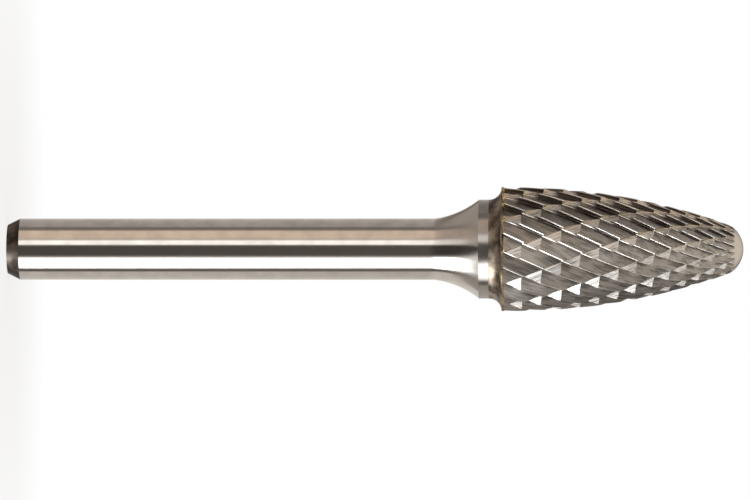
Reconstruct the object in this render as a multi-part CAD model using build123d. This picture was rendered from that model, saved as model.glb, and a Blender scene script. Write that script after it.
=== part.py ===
from build123d import *
from dataclasses import dataclass
import math
import os

# Carbide burr, tree shape with a radius end, double cut, standing on its shank end.
# The axis is +Z. The origin is the centre of the shank's flat end face. Lengths are millimetres.

# Steel shank
SHANK_DIAMETER = 6.35
SHANK_LENGTH = 44.2  # from the end face to the start of the flare
END_CHAMFER_DEPTH = 0.65  # taken off the radius at the end face
END_CHAMFER_LENGTH = 1.3
FLARE_LENGTH = 4.65
FLARE_RADIUS = 9.3  # of the hollow arc from the shank up to the collar
COLLAR_DIAMETER = 10.24
COLLAR_LENGTH = 1.05
RIM_DIAMETER = 12.84  # of the steel where it meets the braze
RIM_LAND = 0.15  # straight edge left on the rim beyond its hollow fillet

# Braze between the steel and the carbide
BRAZE_THICKNESS = 0.15

# Carbide head, before its teeth are ground
HEAD_DIAMETER = 12.9
HEAD_LENGTH = 24.7
HEAD_LAND = 1.1  # straight stretch at the back of the head
NOSE_RADIUS = 2.9

# Right-hand flutes, which leave the cutting edges
FLUTE_COUNT = 22
FLUTE_HELIX = 25.6  # degrees from the axis on the full diameter
FLUTE_DEPTH = 0.55
FLUTE_RAKE = 8.0  # degrees that the rake wall leans off the radius
FLUTE_TAPER = 0.34  # how fast the helix angle eases towards the nose
FLUTE_DEPTH_TAPER = 0.7  # how fast the depth follows the shrinking radius
EDGE_OVERLAP = 0.03  # how far each back slope runs on past the next edge, so that no flat is left

# Left-hand chip breakers, which part the cutting edges into teeth
BREAKER_COUNT = 11
BREAKER_HELIX = -23.1
BREAKER_SPAN = 14.1  # degrees round the axis that one breaker opens over
BREAKER_DEPTH = 0.52
BREAKER_RAKE = 10.0
BREAKER_TAPER = 0.5
BREAKER_DEPTH_TAPER = 0.5

# One tooth point, where a cutting edge and a breaker's wall cross
CROSSING_HEIGHT = 6.1  # above the back of the head
CROSSING_ANGLE = -78.5  # degrees round the axis from +X

# Cutters
CUTTER_STATIONS = 8  # sections along the curved part of the head
CUTTER_MARGIN = 0.35  # how far a cutter stands clear of the blank
CUTTER_OVERRUN = 0.3  # how far a cutter runs past a cut face
RUN_OUT_RISE = 0.05  # how far a cutter has risen clear of the rim where its run-out starts
EDGE_CLEARANCE = 0.004  # lifts a cutter's back edge off the blank's own surface
TURN_STEPS = 200  # slices used to add up the turn of a helix

SHANK_RADIUS = SHANK_DIAMETER / 2
COLLAR_RADIUS = COLLAR_DIAMETER / 2
RIM_RADIUS = RIM_DIAMETER / 2
HEAD_RADIUS = HEAD_DIAMETER / 2
RIM_FILLET = RIM_RADIUS - COLLAR_RADIUS

FLARE_END = SHANK_LENGTH + FLARE_LENGTH
COLLAR_END = FLARE_END + COLLAR_LENGTH
FILLET_END = COLLAR_END + RIM_FILLET
STEEL_END = FILLET_END + RIM_LAND
HEAD_START = STEEL_END + BRAZE_THICKNESS
CURVE_START = HEAD_START + HEAD_LAND
HEAD_END = HEAD_START + HEAD_LENGTH
NOSE_CENTRE = HEAD_END - NOSE_RADIUS

# The head's long arc leaves the straight stretch without a kink and runs into the nose arc the same way.
CURVE_LENGTH = NOSE_CENTRE - CURVE_START
TREE_RADIUS = (CURVE_LENGTH**2 + HEAD_RADIUS**2 - NOSE_RADIUS**2) / (2 * (HEAD_RADIUS - NOSE_RADIUS))
CURVE_OFFSET = TREE_RADIUS - HEAD_RADIUS  # of the long arc's centre beyond the axis
NOSE_LEAN = math.atan2(CURVE_LENGTH, CURVE_OFFSET)  # of the shared tangent point, from the radius
NOSE_START = NOSE_CENTRE + NOSE_RADIUS * math.sin(NOSE_LEAN)


def head_radius(z):
    """Radius of the unground head at a height, with the long arc carried on past the nose."""
    if z <= CURVE_START:
        return HEAD_RADIUS
    return math.sqrt(TREE_RADIUS**2 - (z - CURVE_START) ** 2) - CURVE_OFFSET


def helix_turn(z, helix, taper):
    """Degrees that a flute has turned between the back of the head and a height."""
    lead = math.tan(math.radians(helix)) / HEAD_RADIUS
    straight = min(z, CURVE_START) - HEAD_START
    step = max(z - CURVE_START, 0) / TURN_STEPS
    curved = 0
    for slice_number in range(TURN_STEPS):
        radius = head_radius(CURVE_START + (slice_number + 0.5) * step)
        curved += step * (HEAD_RADIUS / radius) ** (1 - taper)
    return math.degrees(lead * (straight + curved))


def polar_point(radius, degrees, z):
    """Point at a radius and an angle round the axis."""
    angle = math.radians(degrees)
    return Vector(radius * math.cos(angle), radius * math.sin(angle), z)


def on_circle(radius, width):
    """Degrees that a short width takes up on a circle."""
    return math.degrees(width / radius)


def groove_section(z, start, span, depth, rake, rise=0):
    """Section of one groove: a steep wall, then a long slope back up to the blank's surface."""
    radius = head_radius(z) + rise
    lean = math.tan(math.radians(rake))
    far = start + span
    corners = [
        polar_point(radius + CUTTER_MARGIN, start - on_circle(radius, CUTTER_MARGIN * lean), z),
        polar_point(radius - depth, start + on_circle(radius, depth * lean), z),
        polar_point(radius + EDGE_CLEARANCE, far, z),
        polar_point(radius + CUTTER_MARGIN, far, z),
    ]
    return Wire.make_polygon(corners, close=True)


@dataclass
class HelicalGroove:
    """One family of ground grooves, all through copies of the same tooth point."""

    count: int
    helix: float
    taper: float
    span: float
    depth: float
    depth_taper: float
    rake: float

    def section(self, z, rise=0):
        """Cutter's section at a height, risen by some amount off the head's surface."""
        crossing = helix_turn(HEAD_START + CROSSING_HEIGHT, self.helix, self.taper)
        start = CROSSING_ANGLE - crossing + helix_turn(z, self.helix, self.taper)
        depth = self.depth * (head_radius(z) / HEAD_RADIUS) ** self.depth_taper
        return groove_section(z, start, self.span, depth, self.rake, rise)

    def ring(self, cutter):
        """Copies of a cutter spaced evenly round the axis."""
        return [cutter.rotate(Axis.Z, number * 360 / self.count) for number in range(self.count)]

    def head_cutters(self):
        """Cutters that follow the head from its back face until the nose falls away below them."""
        top = NOSE_START + NOSE_RADIUS / 2
        step = (top - CURVE_START) / CUTTER_STATIONS
        heights = [HEAD_START - CUTTER_OVERRUN, HEAD_START]
        heights += [CURVE_START + number * step for number in range(CUTTER_STATIONS + 1)]
        return self.ring(Solid.make_loft([self.section(z) for z in heights]))

    def run_out_cutters(self):
        """Cutters that rise out of the joint's edge between the head and the rim's fillet."""
        risen = self.section(FILLET_END, self.depth + RUN_OUT_RISE)
        level = [self.section(HEAD_START), self.section(HEAD_START + CUTTER_OVERRUN)]
        return self.ring(Solid.make_loft([risen] + level, ruled=True))


FLUTE_PITCH = 360 / FLUTE_COUNT
FLUTE_SPAN = FLUTE_PITCH + on_circle(HEAD_RADIUS, EDGE_OVERLAP)
FLUTES = HelicalGroove(
    FLUTE_COUNT, FLUTE_HELIX, FLUTE_TAPER, FLUTE_SPAN, FLUTE_DEPTH, FLUTE_DEPTH_TAPER, FLUTE_RAKE
)
BREAKERS = HelicalGroove(
    BREAKER_COUNT, BREAKER_HELIX, BREAKER_TAPER, BREAKER_SPAN, BREAKER_DEPTH, BREAKER_DEPTH_TAPER, BREAKER_RAKE
)


def ground_head(blank):
    """The head after the flutes and then the chip breakers are ground along it."""
    return blank.cut(*FLUTES.head_cutters()).cut(*BREAKERS.head_cutters())


def ground_joint(blank):
    """A piece of the joint after the same grooves have run out through its edge."""
    return blank.cut(*FLUTES.run_out_cutters()).cut(*BREAKERS.run_out_cutters())


def turned(profile):
    """Solid turned from a closed half section in the XZ plane."""
    return revolve(Plane.XZ * make_face(profile), Axis.Z).solid()


def shank_blank():
    """Ground shank with an end chamfer, a hollow flare, a collar and a hollow fillet out to the rim."""
    end_radius = SHANK_RADIUS - END_CHAMFER_DEPTH
    chamfer = Polyline((0, 0), (end_radius, 0), (SHANK_RADIUS, END_CHAMFER_LENGTH), (SHANK_RADIUS, SHANK_LENGTH))
    flare = RadiusArc((SHANK_RADIUS, SHANK_LENGTH), (COLLAR_RADIUS, FLARE_END), FLARE_RADIUS)
    collar = Line((COLLAR_RADIUS, FLARE_END), (COLLAR_RADIUS, COLLAR_END))
    fillet = RadiusArc((COLLAR_RADIUS, COLLAR_END), (RIM_RADIUS, FILLET_END), RIM_FILLET)
    rim = Polyline((RIM_RADIUS, FILLET_END), (RIM_RADIUS, STEEL_END), (0, STEEL_END), (0, 0))
    return turned(chamfer.edges() + [flare, collar, fillet] + rim.edges())


def braze_blank():
    """Thin disc of braze that fills the joint."""
    return Pos(0, 0, STEEL_END) * Cylinder(
        RIM_RADIUS, BRAZE_THICKNESS, align=(Align.CENTER, Align.CENTER, Align.MIN)
    )


def head_blank():
    """Tree shape: a short straight stretch, one long arc and a round nose."""
    middle = (CURVE_START + NOSE_START) / 2
    nose_point = (NOSE_RADIUS * math.cos(NOSE_LEAN), NOSE_START)
    nose_middle = (NOSE_LEAN + math.pi / 2) / 2
    back = Polyline((0, HEAD_END), (0, HEAD_START), (HEAD_RADIUS, HEAD_START), (HEAD_RADIUS, CURVE_START))
    tree = ThreePointArc((HEAD_RADIUS, CURVE_START), (head_radius(middle), middle), nose_point)
    nose = ThreePointArc(
        nose_point,
        (NOSE_RADIUS * math.cos(nose_middle), NOSE_CENTRE + NOSE_RADIUS * math.sin(nose_middle)),
        (0, HEAD_END),
    )
    return turned(back.edges() + [tree, nose])


def main():
    os.makedirs("parts", exist_ok=True)
    export_step(ground_joint(shank_blank()), "parts/shank.step")
    export_step(ground_joint(braze_blank()), "parts/braze_joint.step")
    export_step(ground_head(head_blank()), "parts/carbide_head.step")


main()
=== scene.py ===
"""Visual model of a carbide burr: tree shape with a radius end, double cut, on a steel shank.

The burr stands on its shank's end, with its axis on +Z and the origin in the middle of that end.
Sizes are written in millimetres and turned into metres where a mesh is made.
"""

import logging
import math
from dataclasses import dataclass
from enum import Enum
from typing import Callable, Sequence, Union

import bmesh
import bpy
import numpy
from mathutils import Matrix, Vector

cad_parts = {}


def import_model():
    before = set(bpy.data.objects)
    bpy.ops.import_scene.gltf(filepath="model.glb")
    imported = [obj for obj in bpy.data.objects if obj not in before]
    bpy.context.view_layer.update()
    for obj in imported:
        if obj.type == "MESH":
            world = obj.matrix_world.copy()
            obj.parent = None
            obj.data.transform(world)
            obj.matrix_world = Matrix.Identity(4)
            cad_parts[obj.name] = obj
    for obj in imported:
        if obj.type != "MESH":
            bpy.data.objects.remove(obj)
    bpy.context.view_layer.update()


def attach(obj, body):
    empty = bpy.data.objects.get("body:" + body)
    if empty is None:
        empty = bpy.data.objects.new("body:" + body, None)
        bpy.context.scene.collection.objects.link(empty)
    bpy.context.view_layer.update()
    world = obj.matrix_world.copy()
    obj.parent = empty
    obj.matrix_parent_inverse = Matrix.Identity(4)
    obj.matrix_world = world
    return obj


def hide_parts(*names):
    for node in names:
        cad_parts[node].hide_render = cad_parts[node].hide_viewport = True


LOG = logging.getLogger("burr")
MM = 0.001
FULL_TURN = 2 * math.pi
WELD = 1e-8  # metres within which doubled vertices merge
WHITE = (1.0, 1.0, 1.0)
Point = tuple[float, float]
Colour = tuple[float, float, float]

# Wheels. Lengths are millimetres and angles are degrees.
CROSSING_HEIGHT = 57.6  # of one tooth point, above the shank's end
CROSSING_ANGLE = -78.5  # round the axis from +X
WHEEL_SHOULDER = 0.12  # how far a wheel's shoulder runs back over the edge before it
WHEEL_MARGIN = 0.35  # how far a wheel's section stands clear of the head
WHEEL_CLEARANCE = 0.004  # lifts a wheel's back edge off the head's own surface
LIP_STEPS = 6  # facets across a rounded cutting edge
GULLET_STEPS = 6  # facets across a groove's round foot
TURN_SLICES = 200  # steps in which a groove's turn is added up

# Faces of a wheel's path. The first two are how far a normal points round the axis.
BACKWARD = -0.02
STEEP = -0.79
EDGE_DEPTH = 0.12  # millimetres below the head within which a cutting edge lies

# The polynomial that stands for a groove's course in a material
COURSE_POINTS = 20
COURSE_ORDER = 5


# ---- Shader maths ----


Number = Union["Signal", float]


class Signal:
    """A number that flows through a node tree. Arithmetic on it adds Math nodes."""

    def __init__(self, graph: "Graph", socket: bpy.types.NodeSocket) -> None:
        """Wraps a socket.

        Args:
            graph: The graph that the socket belongs to.
            socket: The output socket that carries the number.
        """
        self.graph = graph
        self.socket = socket

    def math(self, operation: str, *operands: Number) -> "Signal":
        """Adds one Math node.

        Args:
            operation: Blender's name of the operation.
            operands: The node's inputs, in order.

        Returns:
            The node's result.
        """
        inputs = dict(enumerate(operands))
        return self.graph.signal("ShaderNodeMath", {"operation": operation}, inputs)

    def __add__(self, other: Number) -> "Signal":
        """Sum of two numbers."""
        return self.math("ADD", self, other)

    __radd__ = __add__

    def __sub__(self, other: Number) -> "Signal":
        """This number less another."""
        return self.math("SUBTRACT", self, other)

    def __rsub__(self, other: Number) -> "Signal":
        """Another number less this one."""
        return self.math("SUBTRACT", other, self)

    def __mul__(self, other: Number) -> "Signal":
        """Product of two numbers."""
        return self.math("MULTIPLY", self, other)

    __rmul__ = __mul__

    def __neg__(self) -> "Signal":
        """This number with its sign turned."""
        return self.math("MULTIPLY", self, -1.0)

    def __pow__(self, other: Number) -> "Signal":
        """This number to a power."""
        return self.math("POWER", self, other)

    def highest(self, other: Number) -> "Signal":
        """The larger of two numbers."""
        return self.math("MAXIMUM", self, other)

    def fraction(self) -> "Signal":
        """What is left of this number above the whole number below it."""
        return self.math("FRACT", self)

    def arcsine(self) -> "Signal":
        """Angle, in radians, whose sine this is."""
        return self.math("ARCSINE", self)

    def angle_from(self, other: "Signal") -> "Signal":
        """Angle, in radians, of the point that lies this far up and the other far along."""
        return self.math("ARCTAN2", self, other)

    def ramp(self, low: float, high: float, soft: bool = True) -> "Signal":
        """Rises from 0 to 1 between two values.

        Args:
            low: Where the ramp is 0. It may be above high, and the ramp then falls.
            high: Where the ramp is 1.
            soft: Whether the ends are eased.

        Returns:
            The ramp.
        """
        settings = {"interpolation_type": "SMOOTHSTEP" if soft else "LINEAR"}
        if low > high:
            return 1 - self.ramp(high, low, soft)
        inputs = {"Value": self, "From Min": low, "From Max": high}
        return self.graph.signal("ShaderNodeMapRange", settings, inputs)

    def window(self, low: float, high: float, edge: float) -> "Signal":
        """1 between two values and 0 outside, with eased edges.

        Args:
            low: Middle of the rising edge.
            high: Middle of the falling edge.
            edge: Width of each edge.

        Returns:
            The window.
        """
        half = edge / 2
        return self.ramp(low - half, low + half) * self.ramp(high + half, high - half)


Value = Union[Signal, bpy.types.NodeSocket, float, tuple]


class Graph:
    """A node tree that is built from expressions."""

    def __init__(self, tree: bpy.types.NodeTree) -> None:
        """Starts from an empty tree.

        Args:
            tree: The material's or the world's node tree.
        """
        self.tree = tree
        tree.nodes.clear()

    def node(
        self, kind: str, settings: dict | None = None, inputs: dict | None = None
    ) -> bpy.types.Node:
        """Adds a node.

        Args:
            kind: Blender's name of the node type.
            settings: Properties, which are set before the sockets.
            inputs: Values or links by socket name or number.

        Returns:
            The node.
        """
        made = self.tree.nodes.new(kind)
        for name, setting in (settings or {}).items():
            setattr(made, name, setting)
        for name, value in (inputs or {}).items():
            socket = made.inputs[name]
            if isinstance(value, Signal):
                value = value.socket
            if isinstance(value, bpy.types.NodeSocket):
                self.tree.links.new(value, socket)
            else:
                socket.default_value = value
        return made

    def signal(self, kind: str, settings: dict | None = None, inputs: dict | None = None) -> Signal:
        """Adds a node and takes its first output as a number."""
        return Signal(self, self.node(kind, settings, inputs).outputs[0])

    def mix(self, factor: Value, first: Value, second: Value) -> bpy.types.NodeSocket:
        """Mixes two colours.

        Args:
            factor: 0 gives the first colour and 1 the second.
            first: The first colour.
            second: The second colour.

        Returns:
            The mixed colour.
        """
        colours = [value + (1.0,) if isinstance(value, tuple) else value for value in (first, second)]
        inputs = {0: factor, 6: colours[0], 7: colours[1]}
        return self.node("ShaderNodeMix", {"data_type": "RGBA"}, inputs).outputs[2]

    def split(self, vector: Value) -> tuple[Signal, Signal, Signal]:
        """The three numbers of a vector."""
        parts = self.node("ShaderNodeSeparateXYZ", inputs={0: vector}).outputs
        return Signal(self, parts[0]), Signal(self, parts[1]), Signal(self, parts[2])

    def noise(self, vector: Value, scale: float, detail: float, seed: float = 0.0) -> Signal:
        """Noise between 0 and 1 over a vector.

        Args:
            vector: Where the noise is read.
            scale: Lumps per unit of the vector.
            detail: How many finer layers it has.
            seed: Which of many patterns it is.

        Returns:
            The noise.
        """
        inputs = {"Vector": vector, "W": seed, "Scale": scale, "Detail": detail}
        return self.signal("ShaderNodeTexNoise", {"noise_dimensions": "4D"}, inputs)


# ---- The head's form ----


@dataclass(frozen=True)
class TreeForm:
    """Outline of the unground head: a straight stretch, one long arc and a round nose.

    Heights are above the shank's end.
    """

    start: float = 51.5
    land: float = 1.1
    radius: float = 6.45
    nose_radius: float = 2.9
    end: float = 76.2

    @property
    def curve_start(self) -> float:
        """Height at which the long arc starts."""
        return self.start + self.land

    @property
    def nose_centre(self) -> float:
        """Height of the nose arc's centre."""
        return self.end - self.nose_radius

    @property
    def arc_radius(self) -> float:
        """Radius of the long arc."""
        length = self.nose_centre - self.curve_start
        return (length**2 + self.radius**2 - self.nose_radius**2) / (2 * (self.radius - self.nose_radius))

    @property
    def nose_lean(self) -> float:
        """Angle between the radius and the point that both arcs share."""
        return math.atan2(self.nose_centre - self.curve_start, self.arc_radius - self.radius)

    @property
    def nose_start(self) -> float:
        """Height at which the nose arc takes over."""
        return self.nose_centre + self.nose_radius * math.sin(self.nose_lean)

    @property
    def clear(self) -> float:
        """Height at which the nose has fallen away below every groove."""
        return self.nose_start + self.nose_radius / 2

    def at(self, height: float) -> float:
        """Radius at a height, with the long arc carried on past the nose.

        Args:
            height: Height above the shank's end.

        Returns:
            The radius.
        """
        if height <= self.curve_start:
            return self.radius
        drop = self.arc_radius**2 - (height - self.curve_start) ** 2
        return math.sqrt(drop) - (self.arc_radius - self.radius)

    def profile(self, arc_points: int, nose_points: int) -> list[Point]:
        """Half section from the back's middle round to the tip.

        Args:
            arc_points: Steps along the long arc.
            nose_points: Steps round the nose.

        Returns:
            Points as (radius, height).
        """
        points = [(0.0, self.start), (self.radius, self.start), (self.radius, self.curve_start)]
        length = self.nose_start - self.curve_start
        for number in range(1, arc_points + 1):
            height = self.curve_start + length * number / arc_points
            points.append((self.at(height), height))
        for number in range(1, nose_points):
            lean = self.nose_lean + (math.pi / 2 - self.nose_lean) * number / nose_points
            height = self.nose_centre + self.nose_radius * math.sin(lean)
            points.append((self.nose_radius * math.cos(lean), height))
        points.append((0.0, self.end))
        return points


FORM = TreeForm()


@dataclass(frozen=True)
class Groove:
    """One family of ground grooves: a steep rake wall, then a slope back up to the surface."""

    name: str
    count: int
    helix: float  # from the axis on the full diameter, with a minus where it is left-handed
    taper: float  # how fast the helix eases towards the nose
    span: float  # degrees round the axis
    depth: float  # on the full diameter
    depth_taper: float  # how fast the depth follows the shrinking radius
    rake: float  # degrees that the rake wall leans off the radius
    lip: float = 0.2  # radius of the rounded cutting edge
    lip_start: float = 4.0  # tilt at which that rounding starts
    lip_end: float = 48.0  # tilt at which it ends in the wall
    lip_drop: float = 0.045  # how far it lies below the unground surface
    gullet: float = 0.12  # radius of the round foot on the full diameter

    def turn(self, height: float) -> float:
        """Degrees that it turns between the back of the head and a height.

        Args:
            height: Height above the shank's end.

        Returns:
            The turn.
        """
        straight = min(height, FORM.curve_start) - FORM.start
        step = max(height - FORM.curve_start, 0) / TURN_SLICES
        curved = 0.0
        for number in range(TURN_SLICES):
            radius = FORM.at(FORM.curve_start + (number + 0.5) * step)
            curved += step * (FORM.radius / radius) ** (1 - self.taper)
        return math.degrees(math.tan(math.radians(self.helix)) / FORM.radius * (straight + curved))

    def section(self, height: float, rise: float = 0.0) -> list[Vector]:
        """Section of the wheel that grinds it, at a height.

        Args:
            height: Height above the shank's end.
            rise: How far the wheel has risen out of the surface.

        Returns:
            The section's corners in order, in millimetres.
        """
        start = CROSSING_ANGLE - self.turn(CROSSING_HEIGHT) + self.turn(height)
        radius = FORM.at(height) + rise
        share = FORM.at(height) / FORM.radius
        depth = self.depth * share**self.depth_taper
        width = math.radians(self.span) * radius
        outline = self.gullet_corners(depth, width, self.gullet * share) + self.lip_corners()
        outline += [(width, WHEEL_MARGIN), (width, WHEEL_CLEARANCE)]
        return [polar(radius + up, start + math.degrees(along / radius), height) for along, up in outline]

    def gullet_corners(self, depth: float, width: float, size: float) -> list[Point]:
        """Round foot between the slope and the rake wall.

        Args:
            depth: Depth of the groove.
            width: Width of the groove.
            size: Radius of the foot.

        Returns:
            Corners as (distance round the surface, height above it).
        """
        lean = math.radians(self.rake)
        foot = (depth * math.tan(lean), -depth)
        wall = math.pi / 2 - lean
        slope = -math.atan2(depth, width - foot[0])
        reach = size / (1 + math.cos(wall - slope))
        centre = (
            foot[0] + reach * (math.sin(wall) + math.sin(slope)),
            foot[1] + reach * (math.cos(wall) + math.cos(slope)),
        )
        tilts = spaced(slope, wall, GULLET_STEPS)
        return [(centre[0] - size * math.sin(tilt), centre[1] - size * math.cos(tilt)) for tilt in tilts]

    def lip_corners(self) -> list[Point]:
        """Rounded cutting edge above the rake wall, and the wheel's shoulder beyond it.

        Returns:
            Corners as (distance round the surface, height above it).
        """
        corners = []
        for degrees in spaced(self.lip_end, self.lip_start, LIP_STEPS):
            tilt = math.radians(degrees)
            corners.append((self.lip * math.sin(tilt), self.lip * (math.cos(tilt) - 1) - self.lip_drop))
        shift = corners[0][0] + corners[0][1] * math.tan(math.radians(self.rake))
        corners = [(along - shift, up) for along, up in corners]
        along, up = corners[-1]
        along -= WHEEL_SHOULDER
        corners.append((along, up + WHEEL_SHOULDER * math.tan(math.radians(self.lip_start))))
        corners.append((along, WHEEL_MARGIN))
        return corners


FLUTE = Groove("flute", 22, 25.6, 0.34, 360 / 22 + 0.27, 0.55, 0.7, 8.0)
BREAKER = Groove("breaker", 11, -23.1, 0.5, 14.1, 0.52, 0.5, 10.0)


def spaced(first: float, last: float, steps: int) -> list[float]:
    """Evenly spaced numbers from the first to the last."""
    return [first + (last - first) * number / steps for number in range(steps + 1)]


def polar(radius: float, degrees: float, height: float) -> Vector:
    """Point at a radius and an angle round the axis."""
    angle = math.radians(degrees)
    return Vector((radius * math.cos(angle), radius * math.sin(angle), height))


# ---- Modelling by hand ----


class Bench:
    """The modelling steps that the pieces share."""

    @staticmethod
    def only(piece: bpy.types.Object) -> None:
        """Selects an object alone and makes it active.

        Args:
            piece: The object.
        """
        bpy.ops.object.select_all(action="DESELECT")
        piece.select_set(True)
        bpy.context.view_layer.objects.active = piece

    @staticmethod
    def start(name: str) -> bpy.types.Object:
        """Adds a small plane, alone in the selection, and enters edit mode with all of it selected.

        Args:
            name: Name of the new object and of its mesh.

        Returns:
            The object.
        """
        bpy.ops.object.select_all(action="DESELECT")
        bpy.ops.mesh.primitive_plane_add(size=MM)
        made = bpy.context.object
        made.name = made.data.name = name
        bpy.ops.object.mode_set(mode="EDIT")
        bpy.ops.mesh.select_mode(type="VERT")
        bpy.ops.mesh.select_all(action="SELECT")
        return made

    @staticmethod
    def finish() -> None:
        """Merges doubles, turns every face outwards and leaves edit mode."""
        bpy.ops.mesh.select_all(action="SELECT")
        bpy.ops.mesh.remove_doubles(threshold=WELD)
        bpy.ops.mesh.normals_make_consistent(inside=False)
        bpy.ops.object.mode_set(mode="OBJECT")

    @staticmethod
    def pick(piece: bpy.types.Object, chosen: Sequence[int]) -> None:
        """Selects vertices of a piece in edit mode, and nothing else.

        Args:
            piece: The piece.
            chosen: Numbers of the vertices.
        """
        mesh = bmesh.from_edit_mesh(piece.data)
        mesh.verts.ensure_lookup_table()
        for vertex in mesh.verts:
            vertex.select = False
        mesh.select_flush(False)
        for number in chosen:
            mesh.verts[number].select = True
        mesh.select_flush(True)
        bmesh.update_edit_mesh(piece.data)

    @staticmethod
    def turn(name: str, profile: Sequence[Point], steps: int) -> bpy.types.Object:
        """Turns a piece as on a lathe: its half section is drawn point by point and spun.

        Args:
            name: The piece's name.
            profile: Half section as (radius, height), in millimetres, from the axis out and back.
            steps: Facets round the axis.

        Returns:
            The piece, closed, with its faces pointing outwards.
        """
        piece = Bench.start(name)
        bpy.ops.mesh.merge(type="CENTER")
        radius, height = profile[0]
        bpy.ops.transform.translate(value=(radius * MM, 0.0, height * MM))
        for point in profile[1:]:
            move = ((point[0] - radius) * MM, 0.0, (point[1] - height) * MM)
            bpy.ops.mesh.extrude_vertices_move(TRANSFORM_OT_translate={"value": move})
            radius, height = point
        bpy.ops.mesh.select_all(action="SELECT")
        bpy.ops.mesh.spin(steps=steps, angle=FULL_TURN, center=(0, 0, 0), axis=(0, 0, 1))
        Bench.finish()
        return piece

    @staticmethod
    def sweep(name: str, sections: Sequence[Sequence[Vector]]) -> bpy.types.Object:
        """Draws the path of a grinding wheel: its section is extruded from height to height.

        Args:
            name: The path's name.
            sections: The section's corners at each height, in millimetres.

        Returns:
            The path as a closed solid.
        """
        bpy.ops.object.select_all(action="DESELECT")
        bpy.ops.mesh.primitive_circle_add(vertices=len(sections[0]), radius=MM, fill_type="NGON")
        path = bpy.context.object
        path.name = path.data.name = name
        bpy.ops.object.mode_set(mode="EDIT")
        bpy.ops.mesh.select_mode(type="VERT")
        ring = list(range(len(sections[0])))
        for number, section in enumerate(sections):
            if number:
                Bench.pick(path, ring)
                old = [path_place(path, index) for index in ring]
                bpy.ops.mesh.extrude_region_move()
                mesh = bmesh.from_edit_mesh(path.data)
                mesh.verts.index_update()
                fresh = [vertex for vertex in mesh.verts if vertex.select]
                ring = [min(fresh, key=lambda v, place=place: (v.co - place).length).index for place in old]
            for corner, index in zip(section, ring):
                Bench.pick(path, [index])
                bpy.ops.transform.translate(value=corner * MM - path_place(path, index))
        Bench.finish()
        return path

    @staticmethod
    def dress_faces(
        piece: bpy.types.Object, chosen: Callable[[bmesh.types.BMFace], bool], slot: int
    ) -> None:
        """Gives the chosen faces of a piece another of its material slots.

        Args:
            piece: The piece.
            chosen: Says whether a face is one of them.
            slot: Number of the material slot.
        """
        bpy.ops.object.mode_set(mode="EDIT")
        bpy.ops.mesh.select_mode(type="FACE")
        bpy.ops.mesh.select_all(action="DESELECT")
        mesh = bmesh.from_edit_mesh(piece.data)
        for face in mesh.faces:
            face.select = chosen(face)
        bmesh.update_edit_mesh(piece.data)
        piece.active_material_index = slot
        bpy.ops.object.material_slot_assign()
        bpy.ops.object.mode_set(mode="OBJECT")

    @staticmethod
    def dress_band(piece: bpy.types.Object, start: float, end: float, slot: int) -> None:
        """Gives a turned piece's faces between two heights another of its finishes."""
        low, high = start * MM, end * MM
        Bench.dress_faces(piece, lambda face: low < face.calc_center_median().z < high, slot)

    @staticmethod
    def copy_round(path: bpy.types.Object, count: int) -> list[bpy.types.Object]:
        """Copies a path evenly round the axis, each copy with its own mesh.

        Args:
            path: The path.
            count: How many there are with the first.

        Returns:
            The path and its copies.
        """
        copies = [path]
        for number in range(1, count):
            Bench.only(path)
            bpy.ops.object.duplicate(linked=False)
            copy = bpy.context.object
            copy.rotation_euler.z = FULL_TURN * number / count
            bpy.ops.object.transform_apply(location=True, rotation=True, scale=True)
            copies.append(copy)
        return copies

    @staticmethod
    def grind(piece: bpy.types.Object, paths: Sequence[bpy.types.Object]) -> None:
        """Takes each path out of a piece. The cut faces keep the path's own material.

        Args:
            piece: The piece.
            paths: The paths.
        """
        for path in paths:
            Bench.only(piece)
            cut = piece.modifiers.new("cut", "BOOLEAN")
            cut.operation = "DIFFERENCE"
            cut.solver = "MANIFOLD"
            cut.material_mode = "TRANSFER"
            cut.object = path
            bpy.ops.object.modifier_apply(modifier=cut.name)

    @staticmethod
    def discard(paths: Sequence[bpy.types.Object]) -> None:
        """Removes the paths once they have been used."""
        for path in paths:
            bpy.data.meshes.remove(path.data)

    @staticmethod
    def smooth(piece: bpy.types.Object, degrees: float) -> None:
        """Shades a piece smooth across its gentle edges.

        Args:
            piece: The piece.
            degrees: How far the gentlest sharp edge turns.
        """
        Bench.only(piece)
        bpy.ops.object.shade_smooth_by_angle(angle=math.radians(degrees))


def path_place(path: bpy.types.Object, index: int) -> Vector:
    """Place of a vertex of a path in edit mode.

    Args:
        path: The path.
        index: Number of the vertex.

    Returns:
        Its place, in metres.
    """
    mesh = bmesh.from_edit_mesh(path.data)
    mesh.verts.ensure_lookup_table()
    return mesh.verts[index].co.copy()


# ---- Finishes ----

# Turned steel
ACROSS_RINGS = 0.25  # part of a turn that points the spread of reflections across the rings
RING_DEPTH = 0.02 * MM
PATCH_SCALE = 600.0  # patches per metre
PATCH_EDGES = 0.35, 0.65  # noise at which a patch begins and is full
STEEL_UNEVENNESS = 0.2  # how far the roughness strays, over the stated one

# Ground carbide
STREAK_DEPTH = 0.01 * MM
STREAK_EDGES = 0.3, 0.7  # noise at which a streak begins and is full
FINE_TO_BROAD = 3  # fine streaks to one broad streak
BARE_LIGHT, STREAK_LIGHT = 0.3, 0.6  # where no streak is, and what each kind of streak adds
LIGHT_RANGE = 0.2, 1.0  # light of the darkest and of the full colour
DARKEST = 0.2  # the darkest colour, over the stated one
FOOT_END = 0.8  # how far across a groove the painted shadow at its foot reaches
OPEN_STRETCH = 0.36, 0.66, 0.2  # window across a chip breaker, where the rake wall is ground away, in which the painted shadow at the foot is left off
PAINTED_GLINT_EDGES = 0.42, 0.2  # across a chip breaker, where the painted glint ends and is full
CARBIDE_UNEVENNESS = 0.25  # how far the roughness strays, over the stated one


class Slot(Enum):
    """The record's material slots."""

    STEEL = "steel"
    BRAZE = "braze"
    CARBIDE = "carbide"


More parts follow.
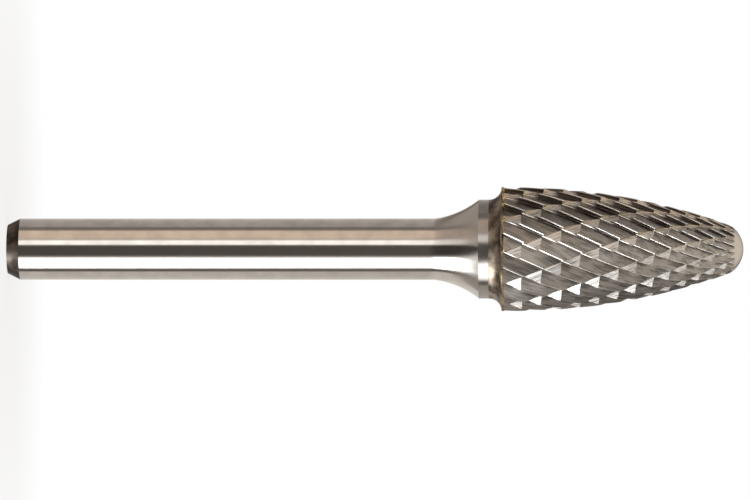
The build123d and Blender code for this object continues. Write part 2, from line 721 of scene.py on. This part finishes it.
@dataclass(frozen=True)
class Finish:
    """A metal finish. Each kind adds its own colour, roughness and marks to a plain metal."""

    name: str
    colour: Colour
    roughness: float

    def material(self) -> bpy.types.Material:
        """Builds the finish as a node material.

        Returns:
            The material.
        """
        made = bpy.data.materials.new(self.name)
        made.use_nodes = True
        graph = Graph(made.node_tree)
        shader = graph.node("ShaderNodeBsdfPrincipled")
        graph.node("ShaderNodeOutputMaterial", inputs={"Surface": shader.outputs[0]})
        self.dress(graph, shader)
        return made

    def dress(self, graph: Graph, shader: bpy.types.Node) -> None:
        """Sets the shader's sockets. Plain metal here.

        Args:
            graph: The material's graph.
            shader: Its shader.
        """
        shader.inputs["Base Color"].default_value = self.colour + (1.0,)
        shader.inputs["Metallic"].default_value = 1.0
        shader.inputs["Roughness"].default_value = self.roughness

    @staticmethod
    def link(graph: Graph, shader: bpy.types.Node, values: dict[str, Value]) -> None:
        """Links what changes over the surface to the shader's sockets by name."""
        for name, value in values.items():
            graph.tree.links.new(value.socket if isinstance(value, Signal) else value, shader.inputs[name])

    @staticmethod
    def place(graph: Graph) -> bpy.types.NodeSocket:
        """Object coordinates."""
        return graph.node("ShaderNodeTexCoord").outputs["Object"]

    def uneven(self, noise: Signal, share: float) -> Signal:
        """The stated roughness, which strays up and down by a share of it."""
        return self.roughness * (1 - share + 2 * share * noise)


@dataclass(frozen=True)
class TurnedSteel(Finish):
    """Turned or centreless-ground steel: fine rings round the axis and a mottle."""

    ring_scale: float = 9000.0  # rings per metre
    bump: float = 0.05  # strength of the rings
    mottle: float = 0.08  # how much darker its patches are
    spread: float = 0.0  # how far reflections are drawn out across the rings

    def dress(self, graph: Graph, shader: bpy.types.Node) -> None:
        """Adds the rings and a mottle, and spreads reflections across the rings.

        Args:
            graph: The material's graph.
            shader: Its shader.
        """
        super().dress(graph, shader)
        shader.inputs["Anisotropic"].default_value = self.spread
        shader.inputs["Anisotropic Rotation"].default_value = ACROSS_RINGS
        place = self.place(graph)
        _, _, height = graph.split(place)
        along = graph.node("ShaderNodeCombineXYZ", inputs={2: height}).outputs[0]
        rings = graph.noise(along, self.ring_scale, detail=3.0)
        patches = graph.noise(place, PATCH_SCALE, detail=4.0, seed=3.0)
        stain = tuple((1 - self.mottle) * part for part in self.colour)
        tint = graph.mix(patches.ramp(*PATCH_EDGES), self.colour, stain)
        rough = self.uneven(patches, STEEL_UNEVENNESS)
        relief = {"Strength": self.bump, "Distance": RING_DEPTH, "Height": rings}
        normal = graph.node("ShaderNodeBump", inputs=relief).outputs[0]
        self.link(graph, shader, {"Base Color": tint, "Roughness": rough, "Normal": normal})


@dataclass(frozen=True)
class Course:
    """The course of a groove over the head, as shader maths."""

    groove: Groove

    def turned(self, graph: Graph, place: Value) -> Signal:
        """How far the groove has turned at a point's height, as a polynomial through its true course.

        Args:
            graph: The material's graph.
            place: Object coordinates.

        Returns:
            The turn in radians.
        """
        _, _, height = graph.split(place)
        middle, half = (FORM.start + FORM.end) / 2, (FORM.end - FORM.start) / 2
        steps = [number / COURSE_POINTS for number in range(-COURSE_POINTS, COURSE_POINTS + 1)]
        turns = [math.radians(self.groove.turn(middle + half * step)) for step in steps]
        factors = [float(factor) for factor in numpy.polyfit(steps, turns, COURSE_ORDER)]
        along = (height - middle * MM) * (1 / (half * MM))
        turn: Number = factors[0]
        for factor in factors[1:]:
            turn = along * turn + factor
        return turn

    def across(self, graph: Graph, place: Value) -> Signal:
        """How far a point lies across the groove.

        Args:
            graph: The material's graph.
            place: Object coordinates.

        Returns:
            0 at the wall, rising to 1 at the next groove's wall.
        """
        across, away, _ = graph.split(place)
        start = math.radians(CROSSING_ANGLE - self.groove.turn(CROSSING_HEIGHT))
        angle = away.angle_from(across) - self.turned(graph, place) - start
        return (angle * (self.groove.count / FULL_TURN)).fraction()


@dataclass(frozen=True)
class GroundCarbide(Finish):
    """Carbide ground by a wheel that followed a groove: streaks that run along it."""

    groove: Groove
    shade: float = 0.0  # strength of the painted shadow that the rake wall casts on the foot of the slope
    painted_glint: Colour | None = None  # colour of a painted glint on the stretch beside a chip breaker, where the edge is bright
    bump: float = 0.35  # strength of the streaks
    grain: float = 9.0  # fine streaks per millimetre across the groove
    stretch: float = 0.06  # a streak's width over its length

    def dress(self, graph: Graph, shader: bpy.types.Node) -> None:
        """Adds the streaks, a painted shadow at the foot of the slope and a painted glint on the stretch
        beside a breaker.

        Args:
            graph: The material's graph.
            shader: Its shader.
        """
        super().dress(graph, shader)
        place = self.place(graph)
        turned = Course(self.groove).turned(graph, place)
        fine = self.streaks(graph, place, turned, self.grain)
        broad = self.streaks(graph, place, turned, self.grain / FINE_TO_BROAD)
        light = BARE_LIGHT + STREAK_LIGHT * (fine.ramp(*STREAK_EDGES) + broad.ramp(*STREAK_EDGES))
        # Painted shadow of the rake wall, darkest at the foot of the slope, left off where a chip breaker
        # has ground the wall away.
        if self.shade:
            foot = self.shade * (1 - Course(self.groove).across(graph, place).ramp(0.0, FOOT_END))
            light = light * (1 - foot * (1 - Course(BREAKER).across(graph, place).window(*OPEN_STRETCH)))
        dark = tuple(DARKEST * part for part in self.colour)
        tint = graph.mix(light.ramp(*LIGHT_RANGE, soft=False), dark, self.colour)
        # Painted glint: a bright colour on the stretch beside each chip breaker.
        if self.painted_glint:
            bright = Course(BREAKER).across(graph, place).ramp(*PAINTED_GLINT_EDGES)
            tint = graph.mix(bright, tint, self.painted_glint)
        rough = self.uneven(fine, CARBIDE_UNEVENNESS)
        relief = {"Strength": self.bump, "Distance": STREAK_DEPTH, "Height": fine}
        normal = graph.node("ShaderNodeBump", inputs=relief).outputs[0]
        self.link(graph, shader, {"Base Color": tint, "Roughness": rough, "Normal": normal})

    def streaks(self, graph: Graph, place: Value, turned: Signal, grain: float) -> Signal:
        """Streaks along the groove.

        Args:
            graph: The material's graph.
            place: Object coordinates.
            turned: How far the groove has turned there.
            grain: Streaks per millimetre across the groove.

        Returns:
            Noise that is fine across the groove and long along it.
        """
        unwound = graph.node(
            "ShaderNodeVectorRotate", {"rotation_type": "Z_AXIS"}, {"Vector": place, "Angle": -turned}
        ).outputs[0]
        stretched = graph.node(
            "ShaderNodeVectorMath", {"operation": "MULTIPLY"}, {0: unwound, 1: (1.0, 1.0, self.stretch)}
        ).outputs[0]
        return graph.noise(stretched, grain / MM, detail=3.0)


# ---- Sub-assemblies ----


@dataclass
class Grinding:
    """The paths of the wheels that grind the flutes and the chip breakers."""

    stations: int = 40  # along the curved part of the head
    overrun: float = 0.3  # how far a path runs past a cut face
    rim: float = 51.2  # height at which a wheel has come out of the steel's rim
    risen: float = 0.05  # how far it is clear of the rim there

    def head_sections(self, groove: Groove) -> list[list[Vector]]:
        """A groove's sections from the head's back until the nose falls away below it."""
        curved = spaced(FORM.curve_start, FORM.clear, self.stations)
        return [groove.section(height) for height in [FORM.start - self.overrun, FORM.start] + curved]

    def joint_sections(self, groove: Groove) -> list[list[Vector]]:
        """A groove's sections where it rises out through the joint's edge."""
        level = [groove.section(height) for height in (FORM.start, FORM.start + self.overrun)]
        return [groove.section(self.rim, groove.depth + self.risen)] + level

    @staticmethod
    def run(piece: bpy.types.Object, draw: Callable, finishes: dict[Groove, list[Finish]]) -> None:
        """Grinds a piece with every copy of each groove, in the order of the finishes.

        Args:
            piece: The blank.
            draw: What gives a groove's sections.
            finishes: What each groove leaves: the finish of its slope, and of its wall and edge where
                they have their own.
        """
        for groove, left in finishes.items():
            path = Bench.sweep(groove.name, draw(groove))
            for finish in left:
                path.data.materials.append(finish.material())
            if len(left) > 1:
                Bench.dress_faces(path, is_wall, 1)
                Bench.dress_faces(path, is_edge, 2)
            paths = Bench.copy_round(path, groove.count)
            Bench.grind(piece, paths)
            Bench.discard(paths)


def round_axis(face: bmesh.types.BMFace) -> float:
    """How far a face's normal points round the axis.

    Args:
        face: The face.

    Returns:
        A number from -1 to 1.
    """
    middle = face.calc_center_median()
    across = Vector((-middle.y, middle.x, 0.0)).normalized()
    return face.normal.dot(across)


def depth_below(face: bmesh.types.BMFace) -> float:
    """Depth of a face's middle below the unground head, in millimetres."""
    middle = face.calc_center_median() / MM
    return FORM.at(middle.z) - math.hypot(middle.x, middle.y)


def is_wall(face: bmesh.types.BMFace) -> bool:
    """Whether a face of a wheel's path leaves a rake wall or the round foot below it."""
    return round_axis(face) < BACKWARD


def is_edge(face: bmesh.types.BMFace) -> bool:
    """Whether a face of a wheel's path leaves a cutting edge."""
    return STEEP <= round_axis(face) < BACKWARD and depth_below(face) < EDGE_DEPTH


def arc_through(start: Point, end: Point, radius: float, steps: int) -> list[Point]:
    """Points of a hollow arc that bulges towards the axis.

    Args:
        start: Where the arc starts, as (radius, height).
        end: Where it ends, higher and further out.
        radius: The arc's radius.
        steps: How many steps it has.

    Returns:
        The points after the start.
    """
    chord = Vector(end) - Vector(start)
    middle = (Vector(start) + Vector(end)) / 2
    away = Vector((chord.y, -chord.x)).normalized()
    centre = middle + away * math.sqrt(radius**2 - (chord.length / 2) ** 2)
    first, last = Vector(start) - centre, Vector(end) - centre
    sweep = first.angle_signed(last)
    turns = [Matrix.Rotation(-sweep * number / steps, 2) for number in range(1, steps + 1)]
    return [tuple(centre + turn @ first) for turn in turns]


@dataclass
class Shank:
    """Ground shank with an end chamfer, a hollow flare, a collar and a fillet out to the rim.

    The end of each stretch is a height above the end face.
    """

    radius: float = 3.175
    chamfer_depth: float = 0.65
    chamfer_length: float = 1.3
    length: float = 44.2
    flare_radius: float = 9.3
    flare_end: float = 48.85
    collar_radius: float = 5.12
    collar_end: float = 49.9
    rim_radius: float = 6.42
    fillet_end: float = 51.2
    end: float = 51.35
    blend: float = 0.5  # stretch before the flare over which the shading turns
    facets: int = 160
    flare_steps: int = 24
    fillet_steps: int = 16
    crease: float = 15.0  # degrees above which an edge stays sharp
    steel: Finish = TurnedSteel("ground_steel", (0.64, 0.62, 0.59), 0.2, spread=0.95)
    turned: Finish = TurnedSteel("turned_steel", (0.45, 0.435, 0.415), 0.3, 4000.0, 0.15, spread=0.9)
    stained: Finish = TurnedSteel("stained_steel", (0.42, 0.345, 0.27), 0.42, 4000.0, 0.3, 0.8)
    # Painted shade: a dark colour on the end chamfer, where it would reflect the pale floor.
    painted_dark_chamfer: Finish = TurnedSteel("painted_dark_chamfer_steel", (0.22, 0.185, 0.16), 0.45, 1500.0, 0.3, 0.8)
    cut: Finish = Finish("cut_steel", (0.70, 0.58, 0.36), 0.25)

    def profile(self) -> list[Point]:
        """Half section from the end face up to the joint.

        Returns:
            Points as (radius, height).
        """
        points = [(0.0, 0.0), (self.radius - self.chamfer_depth, 0.0), (self.radius, self.chamfer_length)]
        points += [(self.radius, self.length - self.blend), (self.radius, self.length)]
        collar = (self.collar_radius, self.flare_end)
        points += arc_through(points[-1], collar, self.flare_radius, self.flare_steps)
        points.append((self.collar_radius, self.collar_end))
        fillet = self.fillet_end - self.collar_end
        points += arc_through(points[-1], (self.rim_radius, self.fillet_end), fillet, self.fillet_steps)
        return points + [(self.rim_radius, self.end), (0.0, self.end)]

    def build(self, grinding: Grinding) -> None:
        """Turns the shank, grinds its rim and puts it on the frame.

        Args:
            grinding: The wheels' paths.
        """
        piece = Bench.turn("shank_steel", self.profile(), self.facets)
        bands = {
            self.steel: (self.chamfer_length, self.flare_end),
            self.turned: (self.flare_end, self.collar_end),
            self.stained: (self.collar_end, self.end),
            self.painted_dark_chamfer: (0.0, self.chamfer_length),
        }
        for slot, (finish, (start, end)) in enumerate(bands.items()):
            piece.data.materials.append(finish.material())
            Bench.dress_band(piece, start, end, slot)
        grinding.run(piece, grinding.joint_sections, {FLUTE: [self.cut], BREAKER: [self.cut]})
        Bench.smooth(piece, self.crease)
        mount(piece, "shank")


@dataclass
class BrazeJoint:
    """Thin disc of braze between the steel and the carbide."""

    radius: float = 6.42
    start: float = 51.35
    end: float = 51.5
    facets: int = 160
    crease: float = 15.0
    skin: Finish = Finish("braze_skin", (0.16, 0.11, 0.07), 0.45)
    cut: Finish = Finish("braze_cut", (0.80, 0.62, 0.36), 0.25)

    def build(self, grinding: Grinding) -> None:
        """Turns the disc, grinds its edge and puts it on the frame.

        Args:
            grinding: The wheels' paths.
        """
        profile = [(0.0, self.start), (self.radius, self.start), (self.radius, self.end), (0.0, self.end)]
        piece = Bench.turn("braze_ring", profile, self.facets)
        piece.data.materials.append(self.skin.material())
        grinding.run(piece, grinding.joint_sections, {FLUTE: [self.cut], BREAKER: [self.cut]})
        Bench.smooth(piece, self.crease)
        mount(piece, "braze_joint")


@dataclass
class CarbideHead:
    """Tree-shaped head with its flutes and chip breakers ground in."""

    facets: int = 256
    arc_points: int = 48
    nose_points: int = 16
    crease: float = 8.0
    skin: Finish = Finish("carbide_skin", (0.74, 0.70, 0.64), 0.35)
    # Painted shadow at the foot of each flute's slope, from its rake wall.
    slope: Finish = GroundCarbide("carbide_flute_painted_shadow", (0.54, 0.505, 0.47), 0.3, FLUTE, shade=0.6)
    # Painted shade: a very dark colour on the rake walls, and a painted glint beside each chip breaker.
    rake: Finish = GroundCarbide(
        "carbide_rake_painted_shade_and_glint", (0.12, 0.10, 0.088), 0.3, FLUTE, painted_glint=(0.9, 0.87, 0.82)
    )
    # Lighter than the rest of the carbide: a painted highlight on the rounded cutting edges, over their
    # real glint.
    edge: Finish = GroundCarbide("carbide_edge_painted_highlight", (0.88, 0.86, 0.83), 0.38, FLUTE)
    breaker: Finish = GroundCarbide("carbide_breaker", (0.84, 0.82, 0.79), 0.5, BREAKER)
    # Painted highlight: a warm gold colour on the chip breakers' walls and cutting edges, which are
    # carbide.
    breaker_wall: Finish = GroundCarbide("carbide_breaker_wall_painted_highlight", (0.72, 0.62, 0.50), 0.22, BREAKER)
    breaker_edge: Finish = GroundCarbide("carbide_breaker_edge_painted_highlight", (0.98, 0.88, 0.73), 0.25, BREAKER)

    def build(self, grinding: Grinding) -> None:
        """Turns the blank, grinds its teeth and puts it on the frame.

        Args:
            grinding: The wheels' paths.
        """
        profile = FORM.profile(self.arc_points, self.nose_points)
        piece = Bench.turn("carbide_burr_head", profile, self.facets)
        piece.data.materials.append(self.skin.material())
        finishes = {
            FLUTE: [self.slope, self.rake, self.edge],
            BREAKER: [self.breaker, self.breaker_wall, self.breaker_edge],
        }
        grinding.run(piece, grinding.head_sections, finishes)
        Bench.smooth(piece, self.crease)
        mount(piece, "carbide_head")


def mount(piece: bpy.types.Object, node: str) -> None:
    """Puts a finished piece on the frame in place of a node.

    Args:
        piece: The finished piece.
        node: The node that it replaces.
    """
    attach(piece, "root")
    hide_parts(node)
    LOG.info("%s: %d faces", piece.name, len(piece.data.polygons))


# ---- Studio ----


@dataclass(frozen=True)
class Card:
    """A card or soft window that stands round the object, as a range of directions from it.

    Its sides are degrees from the camera, turning towards +X, and its ends are degrees above level.
    """

    name: str
    low: float
    high: float
    edge: float  # width of the soft sides
    colour: Colour
    level: float  # brightness, where 1 shows the colour as it is
    bottom: float
    top: float
    fade: float  # width of the soft ends


@dataclass
class Studio:
    """A light room with a few cards and soft windows, and a pale floor."""

    room: Colour = (0.38, 0.345, 0.31)
    cards: tuple[Card, ...] = (  # a later card covers an earlier one
        Card("nose_end", -200.0, 200.0, 1.0, (0.72, 0.66, 0.59), 1.0, 36.0, 200.0, 20.0),
        Card("below_nose", 54.0, 200.0, 16.0, (0.17, 0.155, 0.145), 1.0, 10.0, 32.0, 8.0),
        Card("ceiling", -200.0, -84.0, 40.0, (0.08, 0.066, 0.056), 1.0, -2.0, 16.0, 14.0),
        Card("ceiling_behind", 150.0, 220.0, 30.0, (0.08, 0.066, 0.056), 1.0, -2.0, 20.0, 14.0),
        Card("above_flare", -200.0, -76.0, 16.0, (0.42, 0.37, 0.33), 1.0, -100.0, -18.0, 6.0),
        Card("above_shank", -200.0, -76.0, 16.0, (0.20, 0.17, 0.145), 1.0, -18.0, -5.0, 6.0),
        Card("backdrop_above", -200.0, -92.0, 6.0, (0.80, 0.74, 0.69), 1.0, -7.0, 0.5, 4.0),
        Card("backdrop_below", 94.0, 200.0, 6.0, (0.80, 0.75, 0.70), 1.0, -30.0, 1.0, 4.0),
        Card("gap_above", -89.0, -77.0, 8.0, (0.24, 0.205, 0.18), 1.0, -100.0, 4.0, 8.0),
        Card("warm_low", -74.0, -38.0, 12.0, (0.52, 0.42, 0.35), 1.0, -100.0, -12.0, 8.0),
        Card("warm_wall", -74.0, -38.0, 8.0, (1.0, 0.79, 0.61), 1.15, -12.0, 5.0, 8.0),
        Card("strip_high", -36.0, -12.0, 12.0, (0.72, 0.68, 0.63), 1.0, 8.0, 40.0, 12.0),
        Card("strip_low", -36.0, -16.0, 8.0, (1.0, 0.93, 0.86), 1.0, -60.0, -8.0, 20.0),
        Card("strip_above", -34.0, -14.0, 8.0, (1.0, 0.95, 0.90), 2.2, -14.0, 4.0, 6.0),
        Card("window_far", 32.0, 72.0, 10.0, (0.86, 0.84, 0.82), 1.3, -100.0, 4.0, 9.0),
        Card("window_low", 34.0, 79.0, 5.0, (1.0, 1.0, 1.0), 7.0, -50.0, -8.0, 7.0),
        Card("window_level", 34.0, 70.0, 5.0, (1.0, 1.0, 1.0), 1.7, -9.0, 5.0, 6.0),
        Card("dark_side", -16.0, 26.0, 7.0, (0.05, 0.041, 0.036), 1.0, -90.0, 8.0, 10.0),
        Card("gap_below", 80.0, 93.0, 7.0, (0.09, 0.075, 0.068), 1.0, -100.0, 4.0, 8.0),
    )
    floor_radius: float = 0.06  # metres
    floor_facets: int = 96
    floor_colour: Colour = (0.9, 0.9, 0.9)
    floor_glow: float = 0.8  # share of plain white that the camera sees
    floor_fade: tuple[float, float] = (0.1, 0.95)  # shares of its radius over which it fades away

    def light(self) -> None:
        """Builds the world: what metal reflects, and plain white behind the object."""
        world = bpy.data.worlds.new("studio")
        bpy.context.scene.world = world
        world.use_nodes = True
        graph = Graph(world.node_tree)
        direction = graph.node("ShaderNodeTexCoord").outputs["Generated"]
        across, away, up = graph.split(direction)
        azimuth = across.angle_from(-away) * math.degrees(1.0)
        height = up.arcsine() * math.degrees(1.0)
        colour: Value = self.room
        for card in self.cards:
            shown = tuple(part * card.level for part in card.colour)
            beside = azimuth.window(card.low, card.high, card.edge)
            colour = graph.mix(beside * height.window(card.bottom, card.top, card.fade), colour, shown)
        seen = graph.node("ShaderNodeLightPath").outputs["Is Camera Ray"]
        colour = graph.mix(seen, colour, WHITE)
        background = graph.node("ShaderNodeBackground", inputs={"Color": colour, "Strength": 1.0})
        graph.node("ShaderNodeOutputWorld", inputs={"Surface": background.outputs[0]})

    def floor(self) -> None:
        """Lays a pale disc under the shank's end, which fades out into the backdrop."""
        bpy.ops.object.select_all(action="DESELECT")
        bpy.ops.mesh.primitive_circle_add(
            vertices=self.floor_facets, radius=self.floor_radius, fill_type="NGON"
        )
        disc = bpy.context.object
        disc.name = disc.data.name = "studio_floor"
        pale = bpy.data.materials.new("pale_floor")
        pale.use_nodes = True
        graph = Graph(pale.node_tree)
        matt = graph.node("ShaderNodeBsdfDiffuse", inputs={"Color": self.floor_colour + (1.0,)})
        white = graph.node("ShaderNodeEmission", inputs={"Color": WHITE + (1.0,), "Strength": 1.0})
        clear = graph.node("ShaderNodeBsdfTransparent")
        path = graph.node("ShaderNodeLightPath").outputs
        glow = Signal(graph, path["Is Camera Ray"]) * self.floor_glow
        lit = graph.node(
            "ShaderNodeMixShader", inputs={0: glow, 1: matt.outputs[0], 2: white.outputs[0]}
        )
        across, away, _ = graph.split(Finish.place(graph))
        start, end = (share * self.floor_radius for share in self.floor_fade)
        edge = ((across**2 + away**2) ** 0.5).ramp(start, end)
        hidden = edge.highest(Signal(graph, path["Is Glossy Ray"]))
        faded = graph.node(
            "ShaderNodeMixShader", inputs={0: hidden, 1: lit.outputs[0], 2: clear.outputs[0]}
        )
        graph.node("ShaderNodeOutputMaterial", inputs={"Surface": faded.outputs[0]})
        disc.data.materials.append(pale)


@dataclass
class View:
    """The main camera: far away, a little towards the nose, with the axis lying across the picture."""

    distance: float = 800.0  # from the aim
    width: float = 77.68  # what the picture spans at the aim
    height: float = 38.08  # of the aim, above the shank's end
    offset: float = 0.09  # of the aim, off the axis
    lean: float = 2.0  # degrees that the camera stands towards the nose
    sensor: float = 36.0  # width
    near: float = 0.01  # metres
    far: float = 10.0  # metres

    def place(self) -> None:
        """Makes the camera and aims it."""
        data = bpy.data.cameras.new("camera")
        camera = bpy.data.objects.new("camera", data)
        bpy.context.scene.collection.objects.link(camera)
        data.sensor_width = self.sensor
        data.lens = self.sensor * self.distance / self.width
        lean = math.radians(self.lean)
        forward = Vector((0.0, math.cos(lean), -math.sin(lean)))
        right = Vector((0.0, math.sin(lean), math.cos(lean)))
        target = Vector((self.offset, 0.0, self.height)) * MM
        pose = Matrix((right, Vector((-1.0, 0.0, 0.0)), -forward)).transposed().to_4x4()
        pose.translation = target - forward * self.distance * MM
        camera.matrix_world = pose
        data.clip_start, data.clip_end = self.near, self.far
        bpy.context.scene.camera = camera


def corners(bounds: tuple[Vector, Vector]) -> list[list[float]]:
    """Two corners as plain lists."""
    return [list(corner) for corner in bounds]


def main() -> None:
    """Builds the burr, its studio and its camera."""
    logging.basicConfig(level=logging.INFO, format="%(name)s: %(message)s")
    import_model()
    bpy.context.scene.view_settings.view_transform = "Standard"
    View().place()
    studio = Studio()
    studio.light()
    studio.floor()
    grinding = Grinding()
    Shank().build(grinding)
    BrazeJoint().build(grinding)
    CarbideHead().build(grinding)


if __name__ == "__main__":
    main()
